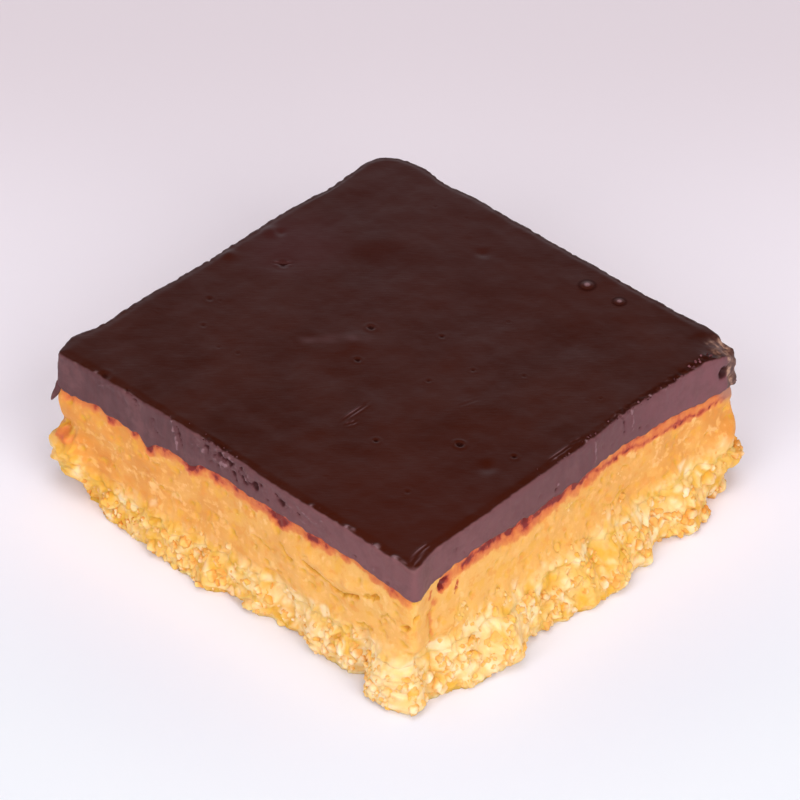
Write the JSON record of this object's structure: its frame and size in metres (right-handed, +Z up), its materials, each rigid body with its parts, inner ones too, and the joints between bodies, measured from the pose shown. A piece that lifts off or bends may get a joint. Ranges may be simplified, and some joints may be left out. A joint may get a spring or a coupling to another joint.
{
  "type": "peanut butter bar",
  "caption": "Square layered tray-bake bar: a crumb base, a thick smooth nut butter filling and a poured dark chocolate top, cut straight at the sides.",
  "frame": {"origin": "centre of the bar's bounding box in plan, on the plane that it rests on", "axes": "+Z up, out of the chocolate top; the four cut walls face along X and Y, the front wall -Y and the right wall +X are the two that the picture shows"},
  "size_m": [0.061, 0.058, 0.0209],
  "materials": {
    "crumb": "coarse golden biscuit crumb, matte",
    "peanut_butter": "smooth orange-tan paste, cut with a knife, faint sheen",
    "dark_chocolate": "satin poured top, paler matte where cut"
  },
  "bodies": {
    "root": {"crumb_base": "crumb", "peanut_butter_filling": "peanut_butter", "chocolate_top": "dark_chocolate"}
  },
  "joints": []
}
